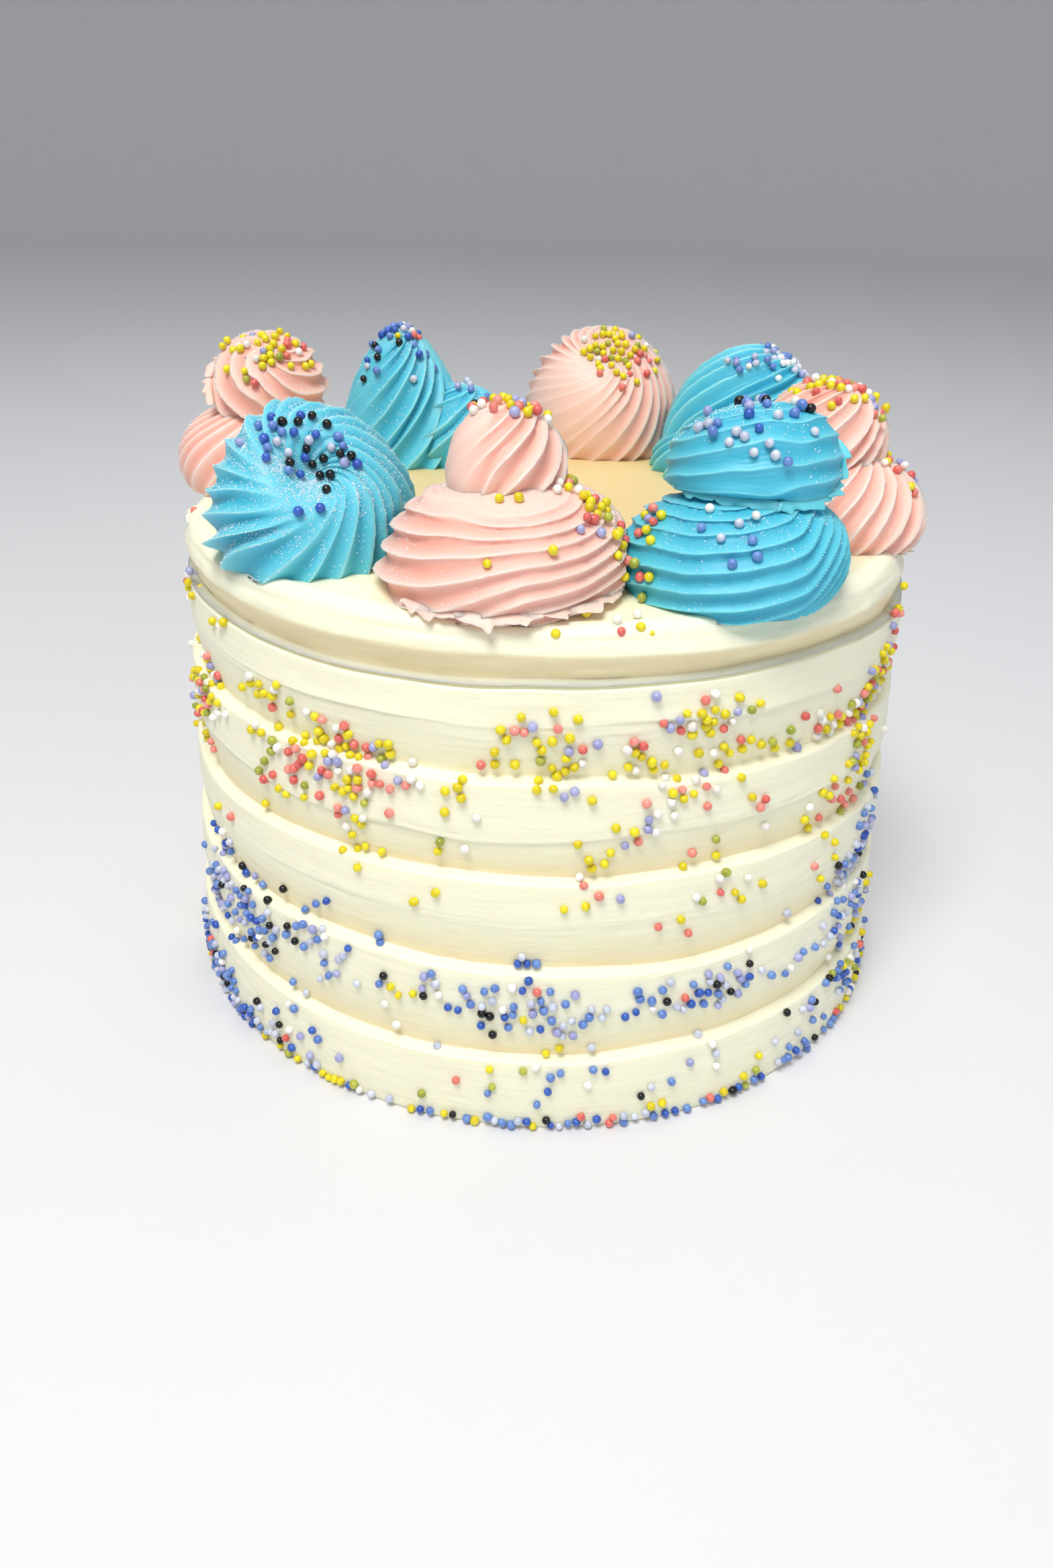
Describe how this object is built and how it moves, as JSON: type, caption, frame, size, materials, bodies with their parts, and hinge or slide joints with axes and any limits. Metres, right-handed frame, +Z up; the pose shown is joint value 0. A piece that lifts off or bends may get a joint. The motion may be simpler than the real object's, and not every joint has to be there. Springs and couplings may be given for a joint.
{
  "type": "gender reveal cake",
  "caption": "Round iced party cake with a combed buttercream side, pink and blue piped swirls round the top and scattered sugar pearls.",
  "frame": {"origin": "centre of the cake's flat foot", "axes": "+Z up through the middle of the cake, -Y towards the front as it is shown, +X to the right"},
  "size_m": [0.1705, 0.1702, 0.1396],
  "materials": {
    "buttercream": "soft satin ivory buttercream, combed",
    "pink_icing": "soft satin pale salmon pink buttercream",
    "blue_icing": "soft satin turquoise buttercream"
  },
  "bodies": {
    "root": {"iced_cake": "buttercream", "swirl_pink_front": "pink_icing", "swirl_blue_front_left": "blue_icing", "swirl_blue_front_right": "blue_icing", "swirl_pink_right": "pink_icing", "swirl_blue_back_right": "blue_icing", "swirl_pink_back": "pink_icing", "swirl_blue_back_left": "blue_icing", "swirl_pink_left": "pink_icing"}
  },
  "joints": []
}
